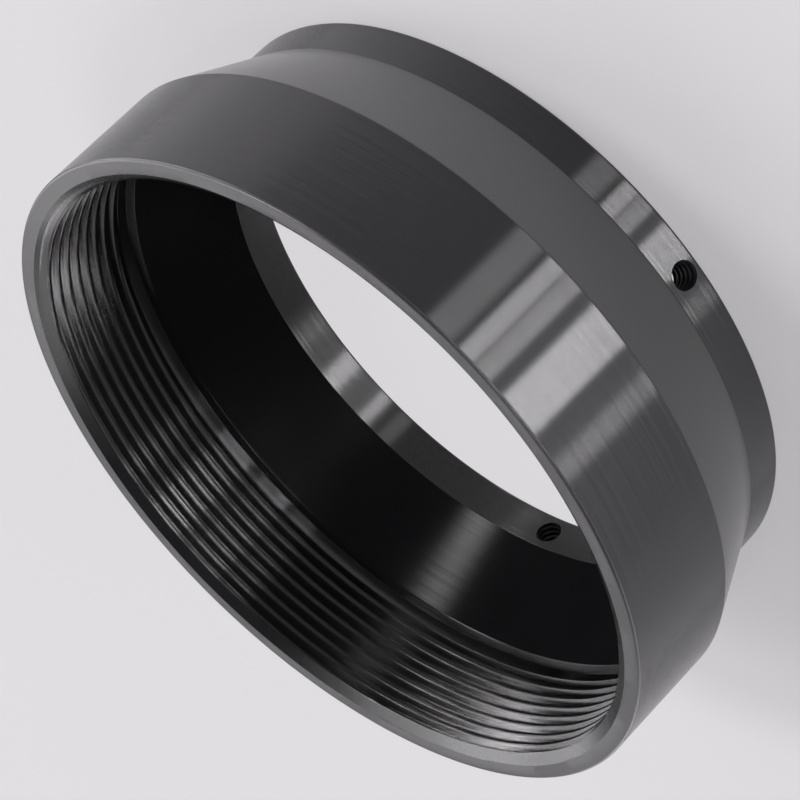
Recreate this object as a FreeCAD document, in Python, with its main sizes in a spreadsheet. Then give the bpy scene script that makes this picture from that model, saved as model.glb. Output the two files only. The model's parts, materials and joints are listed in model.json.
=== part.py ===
import FreeCAD, Part
import os
import Sketcher

# Telescope focuser adapter: one turned ring. The wide end screws onto a telescope's threaded rear
# cell, and the socket in the narrow neck takes a focuser's spigot, held by three radial set screws.
# The origin is the centre of the narrow end face, +Z runs up the axis to the threaded end, and +X
# passes through the first set-screw hole.

# Driving dimensions, in millimetres and degrees
DIMENSIONS = [
    ("body_length", "15.4", "threaded end face to the shoulder of the outer cone"),
    ("cone_length", "11.5", "shoulder to the top of the neck"),
    ("neck_length", "4.85", "top of the neck to the narrow end face"),
    ("thread_diameter", "83.566", "root diameter of the internal thread"),
    ("thread_pitch", "1.5875", "sixteen turns to the inch"),
    ("body_wall", "2.667", "thread root to the outside of the body"),
    ("lead_in", "0.667", "reach of the lead-in chamfer past the thread root"),
    ("lead_in_depth", "0.78", "threaded end face to the foot of the lead-in chamfer"),
    ("relief_width", "2.6", "thread relief groove, across its mouth"),
    ("relief_undercut", "0.07", "floor of the relief groove below the thread root"),
    ("relief_slant", "30", "angle of the groove's walls from square"),
    ("funnel_drop", "0.3", "top of the funnel below the shoulder"),
    ("socket_diameter", "70.9", "bore that takes the focuser's spigot"),
    ("socket_length", "4.95", "foot of the funnel to the narrow end face"),
    ("neck_wall", "4.05", "socket to the outside of the neck"),
    ("edge_break", "0.3", "bevel on the sharp corners of both end faces"),
    ("screw_count", "3", "set-screw holes around the neck"),
    ("screw_height", "2.35", "set-screw axes above the narrow end face"),
    ("screw_drill", "2.85", "tapping drill of the set-screw holes"),
    ("screw_mouth", "3.2", "deburred mouth of the set-screw holes"),
    ("screw_mouth_angle", "90", "included angle of the deburred mouth"),
]

# Depth of an internal sixty-degree thread, as a share of its pitch
THREAD_DEPTH = "0.625 * cos(30 deg)"

# In a sketch's constraints a line's start is point 1 and its end point 2, a circle's centre is point 3,
# and the sketch's own origin and X axis are geometry -1, and its Y axis geometry -2.


def add_sheet(doc):
    sheet = doc.addObject("Spreadsheet::Sheet", "sizes")
    for row, (alias, value, meaning) in enumerate(DIMENSIONS, start=1):
        sheet.set(f"A{row}", meaning)
        sheet.set(f"B{row}", value)
        sheet.setAlias(f"B{row}", alias)
    doc.recompute()


def origin_feature(body, role):
    return next(item for item in body.Origin.OriginFeatures if item.Role == role)


def add_sketch(body, name, plane):
    sketch = body.newObject("Sketcher::SketchObject", name)
    sketch.AttachmentSupport = [(origin_feature(body, plane), "")]
    sketch.MapMode = "FlatFace"
    return sketch


def add_dimension(sketch, name, constraint, expression):
    number = sketch.addConstraint(constraint)
    sketch.renameConstraint(number, name)
    sketch.setExpression(f"Constraints.{name}", expression)


def value_of(sketch, expression):
    return float(sketch.evalExpression(expression))


# Corners of the turned section, anticlockwise: name, radius, height above the narrow end face
def section_corners():
    edge = "sizes.edge_break"
    socket = "sizes.socket_diameter / 2"
    neck = f"{socket} + sizes.neck_wall"
    root = "sizes.thread_diameter / 2"
    crest = f"({root} - {THREAD_DEPTH} * sizes.thread_pitch)"
    mouth = f"{root} + sizes.lead_in"
    body = f"{root} + sizes.body_wall"
    relief = f"{root} + sizes.relief_undercut"
    shoulder = "sizes.neck_length + sizes.cone_length"
    top = f"{shoulder} + sizes.body_length"
    relief_foot = f"{shoulder} - sizes.funnel_drop"
    relief_top = f"{relief_foot} + sizes.relief_width"
    relief_wall = f"({relief} - {crest}) * tan(sizes.relief_slant * 1 deg)"
    return [
        ("neck_foot", f"{neck} - {edge}", "0"),
        ("neck_bevel", neck, edge),
        ("neck_top", neck, "sizes.neck_length"),
        ("shoulder", body, shoulder),
        ("rim_bevel", body, f"{top} - {edge}"),
        ("rim_outer", f"{body} - {edge}", top),
        ("rim_inner", mouth, top),
        ("thread_start", crest, f"{top} - sizes.lead_in_depth"),
        ("thread_stop", crest, relief_top),
        ("relief_top", relief, f"{relief_top} - {relief_wall}"),
        ("relief_foot", relief, f"{relief_foot} + {relief_wall}"),
        ("funnel_top", crest, relief_foot),
        ("funnel_foot", socket, "sizes.socket_length"),
        ("socket_bevel", socket, edge),
        ("socket_foot", f"{socket} + {edge}", "0"),
    ]


# The section is a closed outline, with each corner held by its radius and height
def draw_section(body):
    sketch = add_sketch(body, "ring_section", "XZ_Plane")
    corners = section_corners()
    count = len(corners)
    points = [FreeCAD.Vector(value_of(sketch, r), value_of(sketch, z), 0) for name, r, z in corners]
    for index in range(count):
        sketch.addGeometry(Part.LineSegment(points[index], points[(index + 1) % count]))
    for index in range(count):
        following = (index + 1) % count
        sketch.addConstraint(Sketcher.Constraint("Coincident", index, 2, following, 1))
    for index, (name, radius, height) in enumerate(corners):
        across = Sketcher.Constraint("DistanceX", -1, 1, index, 1, points[index].x)
        add_dimension(sketch, f"{name}_radius", across, radius)
        if height == "0":
            sketch.addConstraint(Sketcher.Constraint("PointOnObject", index, 1, -1))
        else:
            along = Sketcher.Constraint("DistanceY", -1, 1, index, 1, points[index].y)
            add_dimension(sketch, f"{name}_height", along, height)
    return sketch


def turn_ring(body):
    section = draw_section(body)
    ring = body.newObject("PartDesign::Revolution", "turned_ring")
    ring.Profile = section
    ring.ReferenceAxis = (section, ["V_Axis"])
    ring.Angle = 360
    return ring


# The hole's circle lies on a plane that touches the neck, and the hole runs in to the socket
def drill_screw_hole(body):
    sketch = add_sketch(body, "screw_centre", "YZ_Plane")
    sketch.setExpression("AttachmentOffset.Base.z", "sizes.socket_diameter / 2 + sizes.neck_wall")
    centre = FreeCAD.Vector(0, value_of(sketch, "sizes.screw_height"), 0)
    radius = value_of(sketch, "sizes.screw_drill / 2")
    circle = sketch.addGeometry(Part.Circle(centre, FreeCAD.Vector(0, 0, 1), radius))
    sketch.addConstraint(Sketcher.Constraint("PointOnObject", circle, 3, -2))
    rise = Sketcher.Constraint("DistanceY", -1, 1, circle, 3, centre.y)
    add_dimension(sketch, "screw_height", rise, "sizes.screw_height")
    width = Sketcher.Constraint("Diameter", circle, 2 * radius)
    add_dimension(sketch, "screw_drill", width, "sizes.screw_drill")
    body.Document.recompute()

    hole = body.newObject("PartDesign::Hole", "screw_hole")
    hole.Profile = sketch
    hole.DepthType = "Dimension"
    hole.DrillPoint = "Flat"
    hole.HoleCutType = "Countersink"
    hole.setExpression("Diameter", "sizes.screw_drill")
    hole.setExpression("Depth", "2 * sizes.neck_wall")
    hole.setExpression("HoleCutDiameter", "sizes.screw_mouth")
    hole.setExpression("HoleCutCountersinkAngle", "sizes.screw_mouth_angle")
    return hole


def repeat_screw_hole(body, hole):
    pattern = body.newObject("PartDesign::PolarPattern", "screw_holes")
    pattern.Originals = [hole]
    pattern.Axis = (origin_feature(body, "Z_Axis"), [""])
    pattern.Angle = 360
    pattern.setExpression("Occurrences", "sizes.screw_count")
    body.Tip = pattern


def add_adapter_ring(doc):
    body = doc.addObject("PartDesign::Body", "adapter_ring")
    body.Label = "adapter_ring"
    ring = turn_ring(body)
    doc.recompute()
    hole = drill_screw_hole(body)
    doc.recompute()
    repeat_screw_hole(body, hole)
    doc.recompute()
    print(f"turned volume {ring.Shape.Volume:.1f} mm3, drilled {body.Shape.Volume:.1f} mm3")
    if not body.Shape.Volume < hole.Shape.Volume < ring.Shape.Volume:
        raise RuntimeError("a set-screw hole cuts nothing")
    return body


def check_document(doc, subparts):
    for item in doc.Objects:
        if "Invalid" in item.State or "Error" in item.State:
            raise RuntimeError(f"{item.Name} failed: {item.State}")
    for subpart in subparts:
        if subpart.Shape.isNull() or not subpart.Shape.isValid():
            raise RuntimeError(f"{subpart.Label} has no valid shape")


def main():
    doc = FreeCAD.newDocument("focuser_adapter")
    add_sheet(doc)
    subparts = [add_adapter_ring(doc)]
    check_document(doc, subparts)
    os.makedirs("parts", exist_ok=True)
    for subpart in subparts:
        subpart.Shape.exportStep(f"parts/{subpart.Label}.step")
        print(f"{subpart.Label}: {len(subpart.Shape.Solids)} solid, {len(subpart.Shape.Faces)} faces")


main()
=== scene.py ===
import json
import math

import bpy
from mathutils import Matrix, Vector


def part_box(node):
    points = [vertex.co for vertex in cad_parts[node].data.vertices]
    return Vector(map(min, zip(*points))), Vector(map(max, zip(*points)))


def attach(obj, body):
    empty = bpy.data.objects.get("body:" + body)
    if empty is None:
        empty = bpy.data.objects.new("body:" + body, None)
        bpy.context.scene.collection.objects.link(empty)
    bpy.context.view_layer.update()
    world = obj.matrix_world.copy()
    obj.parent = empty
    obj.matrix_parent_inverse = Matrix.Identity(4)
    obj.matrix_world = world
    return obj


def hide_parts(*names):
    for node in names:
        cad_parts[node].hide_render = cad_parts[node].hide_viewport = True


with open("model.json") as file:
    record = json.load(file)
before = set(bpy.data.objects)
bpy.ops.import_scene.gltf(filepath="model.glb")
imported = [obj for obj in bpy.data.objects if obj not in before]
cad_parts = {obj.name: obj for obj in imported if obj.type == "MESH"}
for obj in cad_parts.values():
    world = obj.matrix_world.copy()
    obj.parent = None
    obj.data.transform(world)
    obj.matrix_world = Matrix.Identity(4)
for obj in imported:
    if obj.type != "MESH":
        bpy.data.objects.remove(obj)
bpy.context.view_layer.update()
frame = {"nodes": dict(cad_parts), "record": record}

mounts = {mount["name"]: mount for mount in frame["record"]["mounts"]}
mm = 0.001
print("frame loaded:", ", ".join(frame["nodes"]))


# node helpers, for geometry and material trees alike
def feed(tree, socket, value):
    if isinstance(value, bpy.types.NodeSocket):
        tree.links.new(value, socket)
    else:
        socket.default_value = value


def put(tree, kind, inputs=None, **settings):
    node = tree.nodes.new(kind)
    for name, value in settings.items():
        setattr(node, name, value)
    for name, value in (inputs or {}).items():
        feed(tree, node.inputs[name], value)
    return node


def calc(tree, operation, *values):
    node = tree.nodes.new("ShaderNodeMath")
    node.operation = operation
    for socket, value in zip(node.inputs, values):
        feed(tree, socket, value)
    return node.outputs[0]


def both(tree, first, second):
    return calc(tree, "MULTIPLY", first, second)


def within(tree, value, low, high):
    return both(tree, calc(tree, "GREATER_THAN", value, low), calc(tree, "LESS_THAN", value, high))


def spread(tree, value, fromLow, fromHigh, toLow, toHigh):  # linear, held at both ends
    node = put(tree, "ShaderNodeMapRange")
    for socket, entry in zip(node.inputs, (value, fromLow, fromHigh, toLow, toHigh)):
        feed(tree, socket, entry)
    return node.outputs[0]


def blend(tree, factor, first, second):  # of two colours
    node = put(tree, "ShaderNodeMix", {"Factor": factor}, data_type="RGBA")
    node.inputs[6].default_value = (*first, 1.0)  # the node's colours, after its numbers and vectors
    node.inputs[7].default_value = (*second, 1.0)
    return node.outputs[2]


# anodised finishes: one dye, cut by different passes of the lathe; the set-screw holes' finish is darker
# and duller as painted shade
finishes = {
    "turnedBlack": {  # body and neck
        "dye": (0.0070, 0.0068, 0.0078),
        "roughness": 0.13,
        "anisotropic": 0.85,
        "ior": 1.55,
        "specular": 0.6,
        "slope": 0.31,  # of a groove's sides
        "outward": 0.0,  # how far the tool moves out as it moves up
    },
    "faceBlack": {  # rim face and its bevel
        "dye": (0.020, 0.019, 0.021),
        "roughness": 0.36,
        "anisotropic": 0.4,
        "ior": 1.55,
        "specular": 0.65,
        "slope": 0.16,
        "outward": 1.0,
        "lean": 0.5,  # share of each groove that leans one way, where the rest is flat
    },
    "threadBlack": {  # thread, and the walls of its relief groove
        "dye": (0.0050, 0.0050, 0.0057),
        "roughness": 0.16,
        "anisotropic": 0.7,
        "ior": 1.55,
        "specular": 0.52,
        "slope": 0.30,
        "outward": -3.17,
        "lean": 0.5,
    },
    "reliefBlack": {  # floor of the relief groove
        "dye": (0.0070, 0.0068, 0.0078),
        "roughness": 0.13,
        "anisotropic": 0.85,
        "ior": 1.55,
        "specular": 0.9,
        "slope": 0.31,
        "outward": 0.0,
    },
    "leadBlack": {  # lead-in chamfer
        "dye": (0.0050, 0.0050, 0.0057),
        "roughness": 0.27,
        "anisotropic": 0.3,
        "ior": 1.55,
        "specular": 0.65,
        "slope": 0.03,
        "outward": 1.0,
    },
    "coneBlack": {  # outer cone, the brightest cut
        "dye": (0.006, 0.006, 0.0065),
        "roughness": 0.17,
        "anisotropic": 0.3,
        "ior": 2.05,
        "specular": 0.5,
        "slope": 0.06,
        "outward": 0.4,
    },
    "funnelBlack": {  # inner cone, left dull against stray light
        "dye": (0.007, 0.007, 0.0078),
        "roughness": 0.16,
        "anisotropic": 0.3,
        "ior": 1.45,
        "specular": 0.40,
        "slope": 0.13,
        "outward": 0.4,
        "lean": 1.0,
    },
    "socketBlack": {  # bored with a pointed tool, so its grooves are steep
        "dye": (0.0070, 0.0068, 0.0078),
        "roughness": 0.13,
        "anisotropic": 0.85,
        "ior": 1.55,
        "specular": 0.65,
        "slope": 0.89,
        "outward": 0.0,
    },
    "tappedPaintedShade": {  # set-screw holes, tapped after turning; their darker dye and weak, dull reflection are painted shade in the holes
        "dye": (0.005, 0.005, 0.006),
        "roughness": 0.55,
        "anisotropic": 0.0,
        "ior": 1.45,
        "specular": 0.12,
        "slope": 0.05,
        "outward": 1.0,
    },
}
marks = {
    "feed": 0.05 * mm,  # spacing of the tool's grooves
    "turned": 0.25,  # marks run round, so highlights run along
    "driftScale": 900.0,
    "driftDetail": 2.0,
    "bite": (0.97, 1.0),  # the tool doesn't bite evenly
    "mottleScale": 120.0,
    "mottleDetail": 4.0,
    "noiseSpan": (0.3, 0.7),  # where most of a noise's values lie
    "dyeShare": (0.8, 1.25),  # where the dye is deep, and where it is thin
    "roughnessShare": (0.92, 1.08),
    "bumpFilter": 0.01,
}


def grooveHeight(tree, finish, along):
    drift = put(tree, "ShaderNodeTexNoise", {"W": along, "Scale": marks["driftScale"],
                                             "Detail": marks["driftDetail"]}, noise_dimensions="1D")
    wander = drift.outputs["Fac"]
    if finish.get("lean"):
        turns = calc(tree, "MULTIPLY_ADD", along, -1 / marks["feed"], wander)
        grooves = calc(tree, "MINIMUM", calc(tree, "FRACT", turns), finish["lean"])
    else:
        turns = calc(tree, "MULTIPLY_ADD", along, 1 / marks["feed"], wander)
        grooves = calc(tree, "PINGPONG", turns, 0.5)  # pointed grooves, one to each turn
    return calc(tree, "MULTIPLY", grooves, spread(tree, wander, *marks["noiseSpan"], *marks["bite"]))


def anodised(name):
    finish = finishes[name]
    material = bpy.data.materials.new(name)
    material.use_nodes = True
    tree = material.node_tree
    shader = tree.nodes["Principled BSDF"]
    shader.inputs["Metallic"].default_value = 0.0
    shader.inputs["IOR"].default_value = finish["ior"]
    shader.inputs["Specular IOR Level"].default_value = finish["specular"]
    shader.inputs["Anisotropic"].default_value = finish["anisotropic"]
    shader.inputs["Anisotropic Rotation"].default_value = marks["turned"]

    place = put(tree, "ShaderNodeTexCoord").outputs["Object"]
    axes = put(tree, "ShaderNodeSeparateXYZ", {"Vector": place})
    squares = [calc(tree, "POWER", axes.outputs[axis], 2.0) for axis in ("X", "Y")]
    reach = calc(tree, "SQRT", calc(tree, "ADD", *squares))
    along = calc(tree, "MULTIPLY_ADD", reach, finish["outward"], axes.outputs["Z"])  # the tool's way
    mottle = put(tree, "ShaderNodeTexNoise", {"Vector": place, "Scale": marks["mottleScale"],
                                              "Detail": marks["mottleDetail"]}).outputs["Fac"]

    deep, thin = (tuple(share * part for part in finish["dye"]) for share in marks["dyeShare"])
    feed(tree, shader.inputs["Base Color"], blend(tree, mottle, deep, thin))
    low, high = (share * finish["roughness"] for share in marks["roughnessShare"])
    feed(tree, shader.inputs["Roughness"], spread(tree, mottle, *marks["noiseSpan"], low, high))
    bump = put(tree, "ShaderNodeBump", {"Filter Width": marks["bumpFilter"],
                                        "Height": grooveHeight(tree, finish, along),
                                        "Distance": finish["slope"] * marks["feed"]})
    feed(tree, shader.inputs["Normal"], bump.outputs["Normal"])
    tangent = put(tree, "ShaderNodeTangent", direction_type="RADIAL", axis="Z")
    feed(tree, shader.inputs["Tangent"], tangent.outputs["Tangent"])
    return material


materials = {name: anodised(name) for name in finishes}
print("finishes ready:", ", ".join(materials))


# the ring: a turned section, with the telescope thread cut along a helix and three tapped holes
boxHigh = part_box("adapter_ring")[1]
ring = {
    "bodyRadius": boxHigh.x,
    "height": boxHigh.z,
    "bodyLength": 15.4 * mm,
    "neckLength": 4.85 * mm,
    "neckRadius": 39.5 * mm,
    "socketRadius": mounts["focuser_socket"]["dims"]["r_mm"] * mm,
    "socketLength": 4.95 * mm,
    "crestRadius": mounts["telescope_thread"]["dims"]["r_mm"] * mm,
    "rootRadius": 41.783 * mm,
    "pitch": 1.5875 * mm,
    "threadStart": 0.545,  # turns by which the groove leads, so it meets the rim where the real one does
    "crestRound": 0.10 * mm,
    "mouthRadius": 42.45 * mm,
    "leadIn": 0.78 * mm,  # depth of the lead-in chamfer
    "reliefRadius": 41.853 * mm,
    "reliefWidth": 2.6 * mm,
    "reliefSlant": math.radians(30),
    "funnelDrop": 0.3 * mm,
    "edge": 0.3 * mm,
    "noseRound": 0.12 * mm,  # left by the nose of the turning tool
    "screwHeight": mounts["set_screw_1"]["pos_m"][2],
    "screwDrill": mounts["set_screw_1"]["dims"]["r_mm"] * mm,
    "screwRoot": 1.7525 * mm,
    "screwMouth": 1.68 * mm,
    "screwPitch": 0.79375 * mm,
    "screwCount": 3,
    "screwSegments": 40,
    "screwRowsPerTurn": 16,
    "segments": 216,
    "rowsPerTurn": 32,
    "sharpAngle": math.radians(18),
}
shoulder = ring["height"] - ring["bodyLength"]
reliefFoot = shoulder - ring["funnelDrop"]
reliefTop = reliefFoot + ring["reliefWidth"]
reliefWall = (ring["reliefRadius"] - ring["crestRadius"]) * math.tan(ring["reliefSlant"])
ring["threadTop"] = ring["height"]
ring["threadFoot"] = reliefTop - reliefWall
ring["reliefTop"] = reliefTop
ring["reliefFoot"] = reliefFoot
ring["leadInFoot"] = ring["height"] - ring["leadIn"]

# the form of a sixty-degree thread, in pitches, and how its rows are laid
threadDepth = 0.625 * math.cos(math.radians(30))
halfRoot = 1 / 16  # half the flat at the root
flankWidth = 5 / 16
turnsBelow = 2.0  # the rows start this far under the foot
spareTurns = 3.0  # beyond the thread's length, folded away at its ends
snapParts = 1.99  # a row is pulled onto a corner from just over half a row away
endRow = 1e-4  # nearer than this to a sheet's end is its last row
mergeDistance = 1e-6
zoneMargin = 0.02 * mm
fullTurn = 2 * math.pi


def rounded(before, corner, after, radius, steps=6, guard=0.1 * mm):  # an arc in place of a sharp corner
    before, corner, after = Vector(before), Vector(corner), Vector(after)
    back, on = (before - corner).normalized(), (after - corner).normalized()
    half = 0.5 * back.angle(on)
    centre = corner + (back + on).normalized() * radius / math.sin(half)
    start = corner + back * radius / math.tan(half) - centre
    finish = corner + on * radius / math.tan(half) - centre
    arc = [centre + start.slerp(finish, step / steps) * radius for step in range(steps + 1)]
    guarded = (arc[0] + back * guard, *arc, arc[-1] + on * guard)  # the guards keep long faces flat
    return [tuple(point) for point in guarded]


def plainSection():  # from the foot of the thread, round the outside, to the lip of its mouth
    height, edge, nose = ring["height"], ring["edge"], ring["noseRound"]
    corners = [
        (ring["reliefRadius"], ring["threadFoot"], 0.0),
        (ring["reliefRadius"], reliefFoot + reliefWall, nose),
        (ring["crestRadius"], reliefFoot, nose),
        (ring["socketRadius"], ring["socketLength"], nose),
        (ring["socketRadius"], 0.0, edge),
        (ring["neckRadius"], 0.0, edge),
        (ring["neckRadius"], ring["neckLength"], nose),
        (ring["bodyRadius"], shoulder, nose),
        (ring["bodyRadius"], height, edge),
        (ring["mouthRadius"], height, 0.0),
    ]
    points = []
    for number, (radius, level, bend) in enumerate(corners):
        if bend:
            before, after = corners[number - 1][:2], corners[number + 1][:2]
            points += rounded(before, (radius, level), after, bend)
        else:
            points.append((radius, level))
    return points


def sectionMesh(name):
    points = [Vector((radius, 0.0, height)) for radius, height in plainSection()]
    mesh = bpy.data.meshes.new(name)
    mesh.from_pydata(points, [(i, i + 1) for i in range(len(points) - 1)], [])
    return mesh


def turn(tree, mesh, angle, radius, height):  # lay a sheet's points round the axis
    east = calc(tree, "MULTIPLY", radius, calc(tree, "COSINE", angle))
    north = calc(tree, "MULTIPLY", radius, calc(tree, "SINE", angle))
    spot = put(tree, "ShaderNodeCombineXYZ", {"X": east, "Y": north, "Z": height}).outputs[0]
    return put(tree, "GeometryNodeSetPosition", {"Geometry": mesh, "Position": spot}).outputs[0]


def pointAxes(tree):
    place = put(tree, "GeometryNodeInputPosition").outputs[0]
    return put(tree, "ShaderNodeSeparateXYZ", {"Vector": place}).outputs


def sheet(tree, across, along):  # a unit grid, with its two coordinates from 0 to 1
    grid = put(tree, "GeometryNodeMeshGrid", {"Size X": 1.0, "Size Y": 1.0, "Vertices X": across,
                                              "Vertices Y": along})
    axes = pointAxes(tree)
    u, v = (calc(tree, "ADD", axes[name], 0.5) for name in ("X", "Y"))
    return grid.outputs["Mesh"], u, v


def threadRadius(tree, height, u, crest, root, pitch, soften):  # sixty degrees, crest a quarter pitch
    turns = calc(tree, "SUBTRACT", calc(tree, "DIVIDE", height, pitch), u)
    fromGroove = calc(tree, "ABSOLUTE", calc(tree, "SUBTRACT", calc(tree, "FRACT", turns), 0.5))
    share = calc(tree, "DIVIDE", calc(tree, "SUBTRACT", fromGroove, halfRoot), flankWidth)
    flank = calc(tree, "MULTIPLY_ADD", share, calc(tree, "SUBTRACT", crest, root), root)
    return calc(tree, "SMOOTH_MAX", calc(tree, "SMOOTH_MIN", flank, root, soften), crest, soften)


def snapped(tree, height, level, reach):  # pull a nearby row onto a corner's level
    near = calc(tree, "COMPARE", height, level, reach)
    return calc(tree, "ADD", height, calc(tree, "MULTIPLY", near, calc(tree, "SUBTRACT", level, height)))


def helixRows(tree, u, v, turns, pitch):  # heights above the foot: rows climb one pitch in each turn
    level = calc(tree, "ADD", calc(tree, "MULTIPLY", v, turns), u)
    return calc(tree, "MULTIPLY", calc(tree, "SUBTRACT", level, turnsBelow), pitch)


def turnCount(tree, length, pitch):
    return calc(tree, "ADD", calc(tree, "CEIL", calc(tree, "DIVIDE", length, pitch)), spareTurns)


def held(tree, height, length):  # rows past either end are laid on it
    return calc(tree, "MAXIMUM", calc(tree, "MINIMUM", height, length), 0.0)


def telescopeThread(tree, size):
    length = calc(tree, "SUBTRACT", size["threadTop"], size["threadFoot"])
    leadInFoot = calc(tree, "SUBTRACT", size["leadInFoot"], size["threadFoot"])
    reliefEnd = calc(tree, "SUBTRACT", size["reliefTop"], size["threadFoot"])
    turns = turnCount(tree, length, size["pitch"])
    rows = calc(tree, "ADD", calc(tree, "MULTIPLY", turns, size["rowsPerTurn"]), 1.0)
    mesh, u, v = sheet(tree, calc(tree, "ADD", size["segments"], 1.0), rows)
    halfRow = calc(tree, "DIVIDE", size["pitch"], calc(tree, "MULTIPLY", size["rowsPerTurn"], snapParts))
    height = helixRows(tree, u, v, turns, size["pitch"])
    for level in (leadInFoot, reliefEnd):
        height = snapped(tree, height, level, halfRow)
    height = held(tree, height, length)
    lead = calc(tree, "ADD", u, size["threadStart"])
    thread = threadRadius(tree, height, lead, size["crestRadius"], size["rootRadius"], size["pitch"],
                          size["crestRound"])
    leadIn = spread(tree, height, leadInFoot, length, size["crestRadius"], size["mouthRadius"])
    relief = spread(tree, height, 0.0, reliefEnd, size["reliefRadius"], size["crestRadius"])
    radius = calc(tree, "MAXIMUM", thread, calc(tree, "MAXIMUM", leadIn, relief))
    height = calc(tree, "ADD", height, size["threadFoot"])
    wall = turn(tree, mesh, calc(tree, "MULTIPLY", u, fullTurn), radius, height)
    return put(tree, "GeometryNodeFlipFaces", {"Mesh": wall}).outputs[0]


def plainSides(tree, size, section):
    count = put(tree, "GeometryNodeAttributeDomainSize", {"Geometry": section}).outputs["Point Count"]
    mesh, u, v = sheet(tree, calc(tree, "ADD", size["segments"], 1.0), count)
    number = calc(tree, "ROUND", calc(tree, "MULTIPLY", v, calc(tree, "SUBTRACT", count, 1.0)))
    place = put(tree, "GeometryNodeInputPosition").outputs[0]
    point = put(tree, "GeometryNodeSampleIndex", data_type="FLOAT_VECTOR", domain="POINT")
    for name, value in (("Geometry", section), ("Value", place), ("Index", number)):
        feed(tree, point.inputs[name], value)
    corner = put(tree, "ShaderNodeSeparateXYZ", {"Vector": point.outputs["Value"]}).outputs
    return turn(tree, mesh, calc(tree, "MULTIPLY", u, fullTurn), corner["X"], corner["Z"])


def joined(tree, *parts):
    join = put(tree, "GeometryNodeJoinGeometry")
    for part in parts:
        tree.links.new(part, join.inputs[0])
    merged = put(tree, "GeometryNodeMergeByDistance", {"Geometry": join.outputs[0],
                                                       "Distance": mergeDistance})
    return merged.outputs[0]


def tapForm(tree, size):  # the space that the tap clears, along the axis
    inner = calc(tree, "SUBTRACT", size["socketRadius"], size["screwPitch"])
    outer = calc(tree, "ADD", size["neckRadius"], size["screwPitch"])
    length = calc(tree, "SUBTRACT", outer, inner)
    turns = turnCount(tree, length, size["screwPitch"])
    rows = calc(tree, "ADD", calc(tree, "MULTIPLY", turns, size["screwRowsPerTurn"]), 1.0)
    mesh, u, v = sheet(tree, calc(tree, "ADD", size["screwSegments"], 1.0), rows)
    height = held(tree, helixRows(tree, u, v, turns, size["screwPitch"]), length)
    depth = calc(tree, "MULTIPLY", size["screwPitch"], threadDepth)
    thread = threadRadius(tree, height, u, calc(tree, "SUBTRACT", size["screwRoot"], depth),
                          size["screwRoot"], size["screwPitch"], 0.0)
    height = calc(tree, "ADD", height, inner)
    mouth = calc(tree, "ADD", size["screwMouth"], calc(tree, "SUBTRACT", height, size["neckRadius"]))
    radius = calc(tree, "MAXIMUM", size["screwDrill"], calc(tree, "MAXIMUM", thread, mouth))
    inside = within(tree, v, endRow, 1 - endRow)
    radius = calc(tree, "MULTIPLY", radius, inside)  # the first and last rows close the ends
    return joined(tree, turn(tree, mesh, calc(tree, "MULTIPLY", u, fullTurn), radius, height))


def tapForms(tree, size):  # one for each set screw, laid outwards
    step = calc(tree, "DIVIDE", fullTurn, size["screwCount"])
    bearing = calc(tree, "MULTIPLY", put(tree, "GeometryNodeInputIndex").outputs[0], step)
    euler = put(tree, "ShaderNodeCombineXYZ", {"Y": 0.5 * math.pi, "Z": bearing}).outputs[0]
    aim = put(tree, "FunctionNodeEulerToRotation", {"Euler": euler}).outputs[0]
    centre = put(tree, "ShaderNodeCombineXYZ", {"Z": size["screwHeight"]}).outputs[0]
    spots = put(tree, "GeometryNodeMeshLine", {"Count": size["screwCount"], "Offset": (0.0, 0.0, 0.0),
                                               "Start Location": centre}).outputs[0]
    placed = put(tree, "GeometryNodeInstanceOnPoints", {"Points": spots, "Instance": tapForm(tree, size),
                                                        "Rotation": aim}).outputs[0]
    return put(tree, "GeometryNodeRealizeInstances", {"Geometry": placed}).outputs[0]


def radiusAndLevel(tree):
    axes = pointAxes(tree)
    flat = put(tree, "ShaderNodeCombineXYZ", {"X": axes["X"], "Y": axes["Y"]}).outputs[0]
    length = put(tree, "ShaderNodeVectorMath", {0: flat}, operation="LENGTH")
    return length.outputs["Value"], axes["Z"]


def shaded(tree, size, solid):  # smooth, with crisp edges outside the thread
    radius, level = radiusAndLevel(tree)
    smooth = put(tree, "GeometryNodeSetShadeSmooth", {"Geometry": solid}, domain="FACE").outputs[0]
    threadLow = calc(tree, "ADD", size["threadFoot"], zoneMargin)
    inThread = both(tree, within(tree, level, threadLow, size["threadTop"]),
                    calc(tree, "LESS_THAN", radius, size["mouthRadius"]))
    angle = put(tree, "GeometryNodeInputMeshEdgeAngle").outputs["Unsigned Angle"]
    crisp = both(tree, calc(tree, "SUBTRACT", 1.0, inThread),
                 calc(tree, "GREATER_THAN", angle, size["sharpAngle"]))
    sharp = put(tree, "GeometryNodeSetShadeSmooth", {"Geometry": smooth, "Selection": crisp,
                                                     "Shade Smooth": False}, domain="EDGE")
    return sharp.outputs[0]


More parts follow.
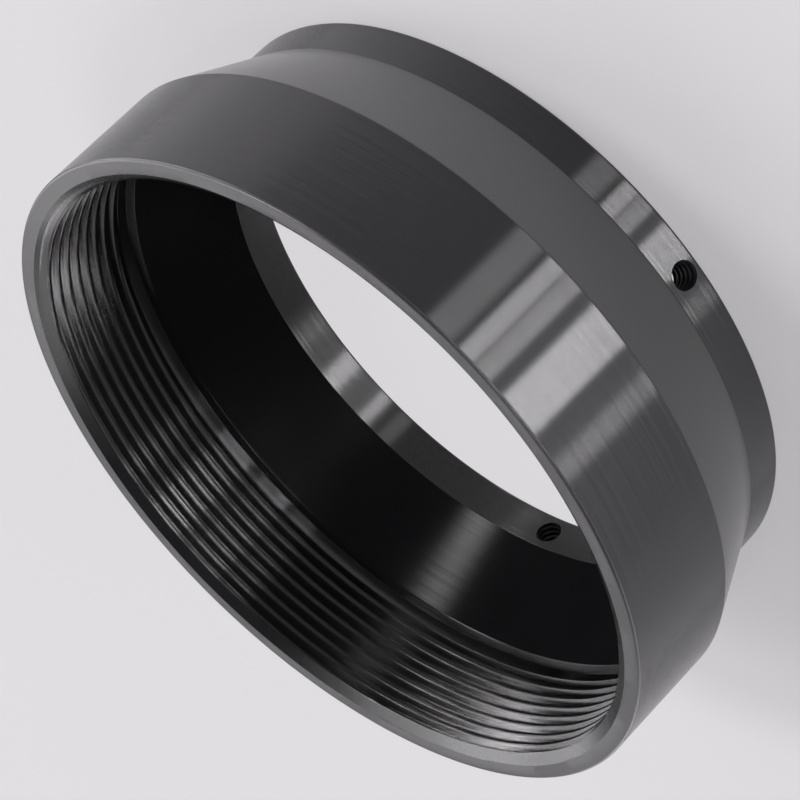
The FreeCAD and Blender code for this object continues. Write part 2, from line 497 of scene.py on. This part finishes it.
def dressed(tree, size, geometry):  # a finish for each zone, with later ones over earlier ones
    radius, level = radiusAndLevel(tree)
    normal = put(tree, "GeometryNodeInputNormal").outputs[0]
    facing = put(tree, "ShaderNodeSeparateXYZ", {"Vector": normal}).outputs["Z"]
    inMouth = calc(tree, "LESS_THAN", radius, size["mouthRadius"])
    tapered = within(tree, level, size["socketLength"], size["reliefFoot"])
    socketWall = calc(tree, "ADD", size["socketRadius"], zoneMargin)
    neckWall = calc(tree, "SUBTRACT", size["neckRadius"], zoneMargin)
    rimFoot = calc(tree, "SUBTRACT", size["threadTop"], size["edge"])
    zones = {
        "turnedBlack": True,
        "faceBlack": both(tree, calc(tree, "GREATER_THAN", level, rimFoot),
                          calc(tree, "GREATER_THAN", radius, size["mouthRadius"])),
        "socketBlack": both(tree, calc(tree, "LESS_THAN", level, size["socketLength"]),
                            calc(tree, "LESS_THAN", radius, socketWall)),
        "threadBlack": both(tree, within(tree, level, size["reliefFoot"], size["threadTop"]), inMouth),
        "reliefBlack": both(tree, within(tree, level, size["reliefFoot"], size["threadFoot"]),
                            within(tree, radius, size["rootRadius"], size["mouthRadius"])),
        "leadBlack": both(tree, within(tree, level, size["leadInFoot"], size["threadTop"]), inMouth),
        "coneBlack": both(tree, tapered, calc(tree, "LESS_THAN", facing, 0.0)),
        "funnelBlack": both(tree, tapered, calc(tree, "GREATER_THAN", facing, 0.0)),
        # walls of the set-screw holes, which get the painted shade finish
        "tappedPaintedShade": both(tree, within(tree, radius, socketWall, neckWall),
                            within(tree, level, size["edge"], size["socketLength"])),
    }
    for name, zone in zones.items():
        geometry = put(tree, "GeometryNodeSetMaterial", {"Geometry": geometry, "Selection": zone,
                                                         "Material": materials[name]}).outputs[0]
    return geometry


def ringTree():
    tree = bpy.data.node_groups.new("adapterRing", "GeometryNodeTree")
    tree.interface.new_socket("Section", in_out="INPUT", socket_type="NodeSocketGeometry")
    tree.interface.new_socket("Ring", in_out="OUTPUT", socket_type="NodeSocketGeometry")
    for name, value in ring.items():
        kind = "NodeSocketInt" if isinstance(value, int) else "NodeSocketFloat"
        tree.interface.new_socket(name, in_out="INPUT", socket_type=kind)
    source = put(tree, "NodeGroupInput")
    size = {name: source.outputs[name] for name in ring}
    solid = joined(tree, plainSides(tree, size, source.outputs["Section"]), telescopeThread(tree, size))
    tapped = put(tree, "GeometryNodeMeshBoolean", {"Mesh 1": solid, "Mesh 2": tapForms(tree, size)},
                 operation="DIFFERENCE", solver="MANIFOLD").outputs["Mesh"]
    put(tree, "NodeGroupOutput", {"Ring": dressed(tree, size, shaded(tree, size, tapped))})
    return tree


def makeRing():
    piece = bpy.data.objects.new("adapterRing", sectionMesh("ringSection"))
    bpy.context.scene.collection.objects.link(piece)
    modifier = piece.modifiers.new("turning", "NODES")
    tree = ringTree()
    entries = [item for item in tree.interface.items_tree if item.in_out == "INPUT"]
    sockets = {item.name: item.identifier for item in entries}
    modifier.node_group = tree
    for name, value in ring.items():
        modifier[sockets[name]] = value
    evaluated = piece.evaluated_get(bpy.context.evaluated_depsgraph_get())
    mesh = bpy.data.meshes.new_from_object(evaluated)
    piece.modifiers.remove(modifier)
    piece.data = mesh
    return piece


adapterRing = makeRing()
print("ring turned:", len(adapterRing.data.polygons), "faces")
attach(adapterRing, "root")
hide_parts("adapter_ring")

# floor
ground = {
    "reach": 4.0,
    "tone": (0.675, 0.665, 0.68),
    "roughness": 0.9,
    "specular": 0.1,
    "shown": (0.73, 0.715, 0.735),
    "paintedLightShareInside": 0.92,  # of the shown colour on the floor seen through the ring, raised there as painted light over the ring's own shadow
    "shareOutside": 0.40,
}


def makeFloor():
    reach = ground["reach"]
    corners = [(-reach, -reach, 0), (reach, -reach, 0), (reach, reach, 0), (-reach, reach, 0)]
    mesh = bpy.data.meshes.new("floor")
    mesh.from_pydata(corners, [], [(0, 1, 2, 3)])
    material = bpy.data.materials.new("paleFloor")
    material.use_nodes = True
    tree = material.node_tree
    shader = tree.nodes["Principled BSDF"]
    shader.inputs["Base Color"].default_value = (*ground["tone"], 1.0)
    shader.inputs["Roughness"].default_value = ground["roughness"]
    shader.inputs["Specular IOR Level"].default_value = ground["specular"]
    rays = put(tree, "ShaderNodeLightPath").outputs
    mirrored = calc(tree, "MAXIMUM", rays["Is Glossy Ray"], rays["Is Transmission Ray"])
    seen = calc(tree, "MAXIMUM", rays["Is Camera Ray"], mirrored)
    pale = put(tree, "ShaderNodeEmission", {"Color": (*ground["shown"], 1.0), "Strength": 1.0})
    place = put(tree, "ShaderNodeTexCoord").outputs["Object"]
    spot = put(tree, "ShaderNodeVectorMath", {0: place}, operation="LENGTH")
    # the pale share climbs towards the ring's middle: painted light over the shade the ring casts inside
    # its bore
    share = spread(tree, spot.outputs["Value"], ring["socketRadius"], ring["neckRadius"],
                   ground["paintedLightShareInside"], ground["shareOutside"])
    mixed = put(tree, "ShaderNodeMixShader", {"Fac": calc(tree, "MULTIPLY", seen, share)})
    tree.links.new(shader.outputs[0], mixed.inputs[1])
    tree.links.new(pale.outputs[0], mixed.inputs[2])
    tree.links.new(mixed.outputs[0], tree.nodes["Material Output"].inputs["Surface"])
    mesh.materials.append(material)
    floor = bpy.data.objects.new("floor", mesh)
    bpy.context.scene.collection.objects.link(floor)
    return floor


makeFloor()
print("floor laid")


# studio lamps: bearing and size in degrees, brightness of the face, share of its width that fades at a side
studio = {
    "stripA": {"aim": (23.3, 6.0), "span": (11.0, 11.0), "bright": 4.4, "feather": 0.2},
    "stripB": {"aim": (13.7, 6.0), "span": (6.0, 11.0), "bright": 12.4, "feather": 0.1},
    "stripC": {"aim": (7.4, 6.0), "span": (6.6, 11.0), "bright": 8.4, "feather": 0.1},
    "stripD": {"aim": (-7.3, 6.0), "span": (14.8, 11.0), "bright": 16.5, "feather": 0.1},
    "stripE": {"aim": (-26.4, 6.0), "span": (9.4, 11.0), "bright": 4.8, "feather": 0.3},
    "stripBase": {"aim": (-11.0, 6.0), "span": (42.0, 11.0), "bright": 1.6, "feather": 0.1},
    "highA": {"aim": (25.9, 56.0), "span": (5.4, 10.0), "bright": 2.5, "feather": 0.2},
    "highB": {"aim": (11.9, 56.0), "span": (4.5, 10.0), "bright": 11.0, "feather": 0.2},
    "highC": {"aim": (-12.0, 56.0), "span": (7.4, 10.0), "bright": 13.0, "feather": 0.2},
    "highD": {"aim": (-37.0, 56.0), "span": (8.0, 10.0), "bright": 4.5, "feather": 0.3},
    "highBase": {"aim": (-14.0, 56.0), "span": (42.0, 10.0), "bright": 2.8, "feather": 0.2},
    "fillBox": {"aim": (312.0, 6.0), "span": (66.0, 11.0), "bright": 1.6, "feather": 0.2},
    "funnelBox": {"aim": (75.0, 32.5), "span": (15.0, 9.0), "bright": 7.0, "feather": 0.4},
    "lowLeft": {"aim": (121.0, 9.0), "span": (72.0, 6.0), "bright": 20.0, "feather": 0.3},
    "lowRight": {"aim": (258.0, 8.0), "span": (84.0, 6.0), "bright": 10.0, "feather": 0.22},
    "sideLow": {"aim": (170.0, 19.0), "span": (18.0, 16.0), "bright": 4.5, "feather": 0.1},
    "sideBox": {"aim": (158.0, 38.0), "span": (24.0, 24.0), "bright": 5.5, "feather": 0.1},
    "sideHigh": {"aim": (147.0, 57.0), "span": (16.0, 14.0), "bright": 4.0, "feather": 0.1},
    "farLow": {"aim": (223.0, 16.0), "span": (20.0, 14.0), "bright": 2.8, "feather": 0.2},
    "farBox": {"aim": (238.0, 38.0), "span": (24.0, 32.0), "bright": 1.6, "feather": 0.2},
    "rimBox": {"aim": (195.0, 32.0), "span": (28.0, 26.0), "bright": 2.2, "feather": 0.2},
    "keyBox": {"aim": (114.0, 53.0), "span": (22.0, 9.0), "bright": 22.0, "feather": 0.2},
}
lampTint = (1.0, 0.98, 1.0)
lampDistance = 5.0
target = Vector((0.0, 0.0, 0.5 * ring["height"]))


def makeLamp(name, lamp):
    light = bpy.data.lights.new(name, "AREA")
    light.shape = "RECTANGLE"
    light.size = 2 * lampDistance * math.tan(math.radians(lamp["span"][0] / 2))
    light.size_y = 2 * lampDistance * math.tan(math.radians(lamp["span"][1] / 2))
    light.energy = math.pi * light.size * light.size_y * lamp["bright"]
    light.color = lampTint
    light.use_nodes = True
    tree = light.node_tree
    spot = put(tree, "ShaderNodeNewGeometry").outputs["Parametric"]
    face = put(tree, "ShaderNodeSeparateXYZ", {"Vector": spot})
    fromEdge = calc(tree, "PINGPONG", face.outputs["X"], 0.5)
    strength = spread(tree, fromEdge, 0.0, lamp["feather"], 0.0, 1.0)
    feed(tree, tree.nodes["Emission"].inputs["Strength"], strength)
    around, rise = (math.radians(angle) for angle in lamp["aim"])
    level = math.cos(rise)
    toLamp = Vector((level * math.cos(around), level * math.sin(around), math.sin(rise)))
    holder = bpy.data.objects.new(name, light)
    holder.location = target + toLamp * lampDistance
    holder.rotation_euler = toLamp.to_track_quat("Z", "Y").to_euler()
    bpy.context.scene.collection.objects.link(holder)


for name, lamp in studio.items():
    makeLamp(name, lamp)

room = {
    "horizon": (0.05, 0.049, 0.052),
    "zenith": (0.02, 0.02, 0.021),
    "fadeTop": 0.7,  # sine of the height at which the zenith's colour is reached
}


def makeWorld():
    world = bpy.data.worlds.new("room")
    world.use_nodes = True
    tree = world.node_tree
    direction = put(tree, "ShaderNodeTexCoord").outputs["Generated"]
    up = put(tree, "ShaderNodeSeparateXYZ", {"Vector": direction}).outputs["Z"]
    tone = blend(tree, spread(tree, up, 0.0, room["fadeTop"], 0.0, 1.0), room["horizon"], room["zenith"])
    feed(tree, tree.nodes["Background"].inputs["Color"], tone)
    bpy.context.scene.world = world


makeWorld()
print("lamps set:", len(studio))


# camera, from the photograph's viewing angle
shot = {
    "place": (0.40006, 0.12785, 0.23360),
    "right": (0.52345, -0.57423, -0.62950),
    "up": (0.09212, 0.77261, -0.62817),
    "back": (0.84706, 0.27082, 0.45732),
    "lens": 188.7,
    "sensor": 36.0,
    "nearest": 0.01,
}


def makeCamera():
    camera = bpy.data.objects.new("camera", bpy.data.cameras.new("camera"))
    camera.data.lens = shot["lens"]
    camera.data.sensor_width = shot["sensor"]
    camera.data.clip_start = shot["nearest"]
    turned = Matrix((shot["right"], shot["up"], shot["back"])).transposed().to_4x4()
    camera.matrix_world = Matrix.Translation(shot["place"]) @ turned
    bpy.context.scene.collection.objects.link(camera)
    bpy.context.scene.camera = camera


makeCamera()
bpy.context.scene.view_settings.view_transform = "Standard"
print("camera placed")
